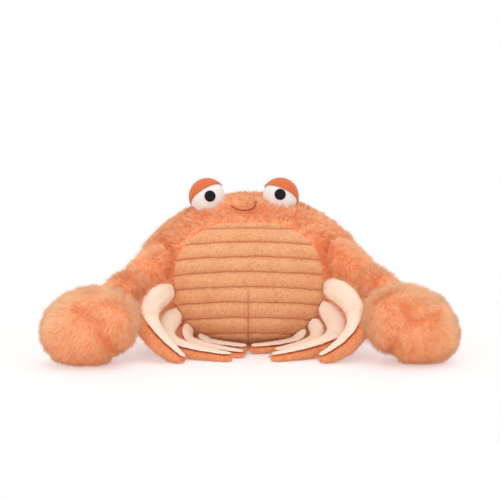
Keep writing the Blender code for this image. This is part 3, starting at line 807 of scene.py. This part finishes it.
# Body skin: the dome without its pocket and sockets
bm = cad_shape("body")
hull = bmesh.ops.convex_hull(bm, input=bm.verts)
bmesh.ops.delete(bm, geom=[item for item in hull["geom_interior"] + hull["geom_unused"]
                           if isinstance(item, bmesh.types.BMVert)], context="VERTS")
left = [face for face in bm.faces if face not in set(hull["geom"])]
bmesh.ops.delete(bm, geom=left, context="FACES_ONLY")
bmesh.ops.recalc_face_normals(bm, faces=bm.faces)
bm = softened(bm, *BODY_FORM)
inset(bm, BODY_PILE["depth"])
body = piece(bm, "body_skin", SKIN_FINISH, "body_fur", "body")

# Smile
bm = shaped(cad_shape("mouth_thread"), ("SUBSURF", {"levels": 1, "render_levels": 1}))
smile = piece(bm, "smile_stitch", THREAD_FINISH, "thread", "mouth_thread")
smile_tree = surface_tree(smile)
SMILE_MIDDLE = sum(corner.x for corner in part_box("mouth_thread")) / 2 + 0.003


def meeting_depth(points, reach, *neighbours):
    """One where a point touches its CAD neighbours and nought from `reach` away."""
    bm = cad_shape(*neighbours)
    tree = BVHTree.FromBMesh(bm)
    bm.free()
    near = [tree.find_nearest(Vector(spot), reach)[3] for spot in points]
    return np.array([0.0 if gap is None else 1 - gap / reach for gap in near])


def body_comb(points, normals):
    out = unit((points - np.array([0.0, 0.04, 0.10])) * np.array([1.0, 0.6, 0.0]))
    low = np.clip((0.15 - points[:, 2:]) / 0.10, 0.0, 1.0)
    flow = np.array([0.0, 0.0, -1.0]) * (0.15 + 0.55 * low) + out * 0.55
    return flat_on(flow + drift(points, 0.035, SEED["body_drift"]) * 0.50, normals)


def clear_of_panel_and_eyes(points):
    """The points, with those in the belly panel or in an eye moved out to its surface."""
    facing = turned @ Vector((0, 1, 0))
    for n, spot in enumerate(points):
        spot = Vector(spot)
        if belly_tree.find_nearest(spot, 0.006)[0] is None:
            continue
        front = belly_tree.ray_cast(spot + facing * 0.03, -facing, 0.035)
        if front[0] is not None and (spot - front[0]).dot(facing) < PANEL_CLEARANCE:
            points[n] = front[0] + facing * PANEL_CLEARANCE
    for centre, radius in EYES.values():
        away = points - centre
        reach = np.linalg.norm(away, axis=1)
        inside = reach < radius + EYE_CLEARANCE
        outward = away[inside] / reach[inside][:, None]
        points[inside] = centre + outward * (radius + EYE_CLEARANCE)
    return points


# Body fur: painted shade beside the belly panel but pale on its rim, and painted shade where the
# arms join. It is drawn over the rim and up to the eyes, short round the smile and on the crown,
# thin on the rear.
roots, normals = places_on(body, BODY_PILE["crowd"], SEED["body_roots"])
keep = roots[:, 2] > LOWEST
stretch, tone = np.ones(len(roots)), np.zeros(len(roots))
pull = np.zeros((len(roots), 3))
for n, spot in enumerate(roots):
    spot = Vector(spot)
    near = belly_tree.find_nearest(spot, PANEL_SEARCH)
    if near[0] is not None:
        if (spot - near[0]).dot(near[1]) < -0.0010 or near[3] < 0.0004:
            keep[n] = False
        # Painted shade: fur darker within reach of the belly panel, lighter again on its very rim
        shade = max(0.0, 1 - near[3] / PANEL_SHADE_REACH)
        edge = max(0.0, 1 - near[3] / PANEL_EDGE_REACH)
        tone[n] -= 0.24 * shade - 0.40 * edge
        stretch[n] *= 1 - 0.25 * shade + 0.55 * edge
        pull[n] += (near[0] - spot).normalized() * 1.5 * edge
        roots[n] += normals[n] * EDGE_LIFT * edge
    near = smile_tree.find_nearest(spot + Vector(normals[n]) * BODY_PILE["depth"], SMILE_REACH)
    if near[0] is not None:
        open_share = 0.45 if near[0].x < SMILE_MIDDLE else 0.85
        far_share = min(1.0, max(0.0, (near[3] - 0.001) / 0.006))
        stretch[n] *= open_share + (1 - open_share) * far_share
upward = np.clip((normals[:, 2] - 0.35) / 0.45, 0, 1)
stretch *= 1 - 0.42 * upward * np.clip(roots[:, 1] / 0.02 + 2.2, 0, 1)
for centre, radius in EYES.values():
    reach = np.linalg.norm(roots - centre, axis=1)
    keep &= reach > radius + 0.0005
    below = np.clip(1.15 - (reach - radius) / EYE_FUR_REACH, 0, 1)
    below = below * (roots[:, 1] < centre[1] + 0.004)
    pull += unit(centre - roots) * (1.5 * below)[:, None]
    stretch = stretch * (1 - below) + np.maximum(stretch, 0.98) * below
# Painted light: fur on upward faces is paler
tone += 0.20 * np.clip(normals[:, 2], 0, 1)
# Painted shade: fur darker, and shorter, where the arms join the body
arm_fold = meeting_depth(roots, ARM_REACH, "arm_left", "arm_right")
tone -= 0.42 * arm_fold
stretch *= 1 - 0.30 * arm_fold
draws = np.random.default_rng(SEED["rear_thinning"]).random(len(roots))
keep &= (normals[:, 1] < 0.15) | (draws < REAR_SHARE)
roots, normals, stretch, tone, pull = (
    values[keep] for values in (roots, normals, stretch, tone, pull))
for zone, chosen in (("front", normals[:, 1] < -0.25), ("top", abs(normals[:, 1] + 0.05) <= 0.20),
                     ("rear", normals[:, 1] > 0.15)):
    grow_pile(f"body_pile_{zone}", roots[chosen], normals[chosen], BODY_PILE, body_comb,
              BODY_PILE_FINISH, SEED["body_locks"], stretch=stretch[chosen],
              tone=tone[chosen], pull=pull[chosen], keep_out=clear_of_panel_and_eyes)


def limb_comb(start):
    """Pile brushed away from where the limb begins, and a little down."""
    def comb(points, normals):
        away = unit(points - np.array(start))
        flow = np.array([0.0, 0.0, -0.30]) + away * 0.75
        return flat_on(flow + drift(points, 0.030, SEED["limb_drift"]) * 0.35, normals)
    return comb


# Claws and arms: a cloth skin, and pile with painted shade where parts meet, except on top
for side in SIDES:
    for limb, pile, finish in (("claw", CLAW_PILE, CLAW_PILE_FINISH),
                               ("arm", ARM_PILE, ARM_PILE_FINISH)):
        bm = softened(cad_shape(f"{limb}_{side}"), *LIMB_FORM)
        if limb == "claw":
            bridge_hollows(bm, HOLLOW_BRIDGED)
        inset(bm, pile["depth"])
        if limb == "claw":
            spots = np.array([vert.co for vert in bm.verts])
            facing = np.array([vert.normal for vert in bm.verts])
            folds = fold_depth(spots, facing, CLAW_FOLDS[side], FOLD_WIDTH)
            for vert, depth in zip(bm.verts, folds):
                vert.co -= vert.normal * depth * FOLD_DEPTH
            bm.normal_update()
        skin = piece(bm, f"{limb}_{side}_skin", SKIN_FINISH, "limb_fur", f"{limb}_{side}")
        low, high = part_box(f"{limb}_{side}")
        start = ((high.x if side == "left" else low.x) * 0.92, (low.y + high.y) / 2, high.z * 0.95)
        roots, normals = places_on(skin, pile["crowd"], SEED["limb_roots"])
        keep = roots[:, 2] > LOWEST
        roots, normals = roots[keep], normals[keep]
        outward = np.sign(low.x + high.x) * normals[:, 0]
        # Painted light and shade: paler on top and on the outer side, darker underneath
        tone = 0.26 * np.clip(normals[:, 2], -0.4, 1) + 0.20 * np.clip(outward, 0, 1) - 0.04
        stretch = 1 + 0.40 * np.clip(-outward, 0, 1)
        near_by = ["body", f"claw_{side}"] if limb == "arm" else [f"arm_{side}"]
        meeting = meeting_depth(roots, LIMB_REACH, f"leg_1_{side}_back", f"leg_1_{side}_lining",
                                *near_by)
        # Painted shade where the limb meets its neighbours, turning to painted light on top
        tone -= meeting * (0.46 - 0.62 * np.clip(normals[:, 2], 0, 1))
        stretch *= 1 + 0.8 * meeting_depth(roots, LEG_COVER_REACH, f"leg_1_{side}_back")
        if limb == "claw":
            # Painted shade along the claw's folds
            tone -= 0.36 * fold_depth(roots, normals, CLAW_FOLDS[side], FOLD_WIDTH)
            shortened = fold_depth(roots, normals, CLAW_FOLDS[side], SHORT_PILE_WIDTH)
            stretch *= 1 - 0.35 * shortened
        grow_pile(f"{limb}_{side}_pile", roots, normals, pile, limb_comb(start), finish,
                  SEED[f"limb_locks_{side}"], stretch=stretch, tone=tone)

# Legs: smooth lining sewn to a short-pile back
for leg in LEGS:
    number, side = leg.split("_")[1:]
    bm = softened(cad_shape(f"{leg}_lining"), *LINING_FORM)
    inset(bm, LINING_INSETS[number])
    lining = piece(bm, f"{leg}_lining_cloth", LINING_FINISH, "lining_cloth", f"{leg}_lining")
    lining_tree = surface_tree(lining)
    bm = softened(cad_shape(f"{leg}_back"), *BACK_FORM)
    inset(bm, LEG_PILE["depth"])
    back = piece(bm, f"{leg}_back_cloth", BACK_FINISH, "back_pile", f"{leg}_back")
    roots, normals = places_on(back, LEG_PILE["crowd"], SEED["leg_roots"])
    keep = (roots[:, 2] > LOWEST) & ((normals[:, 2] < 0.3) | (roots[:, 2] > 0.035))
    stretch, pull = np.full(len(roots), 0.75), np.zeros((len(roots), 3))
    for n, spot in enumerate(roots):
        if lining_tree.ray_cast(Vector(spot), Vector(normals[n]), 0.0020)[0] is not None:
            keep[n] = False
            continue
        near = lining_tree.find_nearest(Vector(spot), 0.0035)
        if near[0] is not None:
            stretch[n] = 1.40 if spot[2] < 0.04 else 1.80
            pull[n] = near[1] * 0.9
    others = [f"{other}_lining" for other in LEGS if other != leg and other.endswith(side)]
    room = 1 - meeting_depth(roots, LINING_ROOM, *others)
    stretch *= 0.25 + 0.75 * room
    grow_pile(f"{leg}_back_pile", roots[keep], normals[keep], LEG_PILE, limb_comb((0, 0.03, 0.08)),
              LEG_PILE_FINISH, SEED["leg_locks"], stretch=stretch[keep],
              pull=(pull * room[:, None])[keep], tone=np.full(int(keep.sum()), 0.12))

bpy.context.scene.view_settings.view_transform = "Standard"
